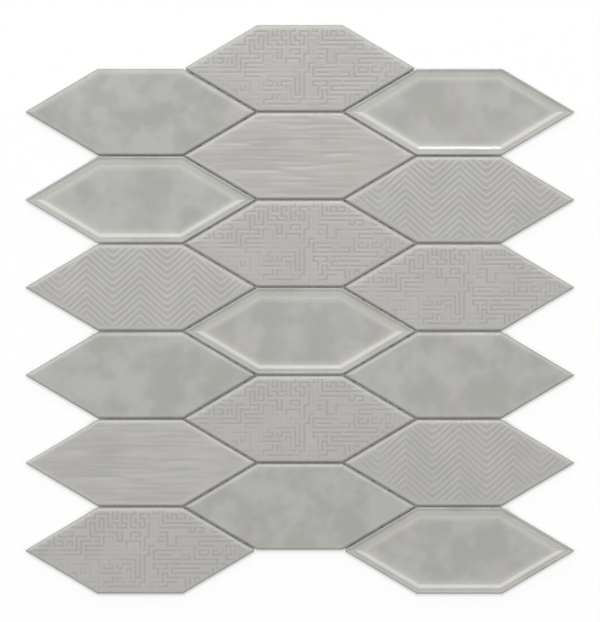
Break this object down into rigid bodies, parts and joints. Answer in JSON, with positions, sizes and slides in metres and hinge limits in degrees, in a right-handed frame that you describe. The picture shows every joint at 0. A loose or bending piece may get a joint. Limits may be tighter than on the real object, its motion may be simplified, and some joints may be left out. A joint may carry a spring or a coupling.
{
  "type": "picket mosaic tile sheet",
  "caption": "Sheet of stretched-hexagon glazed tiles in staggered columns on a glass-fibre net, with plain, rimmed, chevron, wavy and maze-pressed faces.",
  "frame": {"origin": "under the middle of the sheet, on the level that the net's lower yarns lie on", "axes": "+Z out of the glazed faces, +Y along the tile columns towards the picture's top edge, +X along the tiles' length to the picture's right"},
  "size_m": [0.3036, 0.3138, 0.008],
  "materials": {
    "glazed_tile": "gloss",
    "net_yarn": "matte"
  },
  "bodies": {
    "root": {"left_1_plain_tile": "glazed_tile", "left_2_rimmed_tile": "glazed_tile", "left_3_chevron_tile": "glazed_tile", "left_4_plain_tile": "glazed_tile", "left_5_wavy_tile": "glazed_tile", "left_6_maze_tile": "glazed_tile", "centre_1_maze_tile": "glazed_tile", "centre_2_wavy_tile": "glazed_tile", "centre_3_maze_tile": "glazed_tile", "centre_4_rimmed_tile": "glazed_tile", "centre_5_maze_tile": "glazed_tile", "centre_6_plain_tile": "glazed_tile", "right_1_rimmed_tile": "glazed_tile", "right_2_chevron_tile": "glazed_tile", "right_3_maze_tile": "glazed_tile", "right_4_plain_tile": "glazed_tile", "right_5_chevron_tile": "glazed_tile", "right_6_rimmed_tile": "glazed_tile", "net_warp_yarns": "net_yarn", "net_weft_yarns": "net_yarn"}
  },
  "joints": []
}
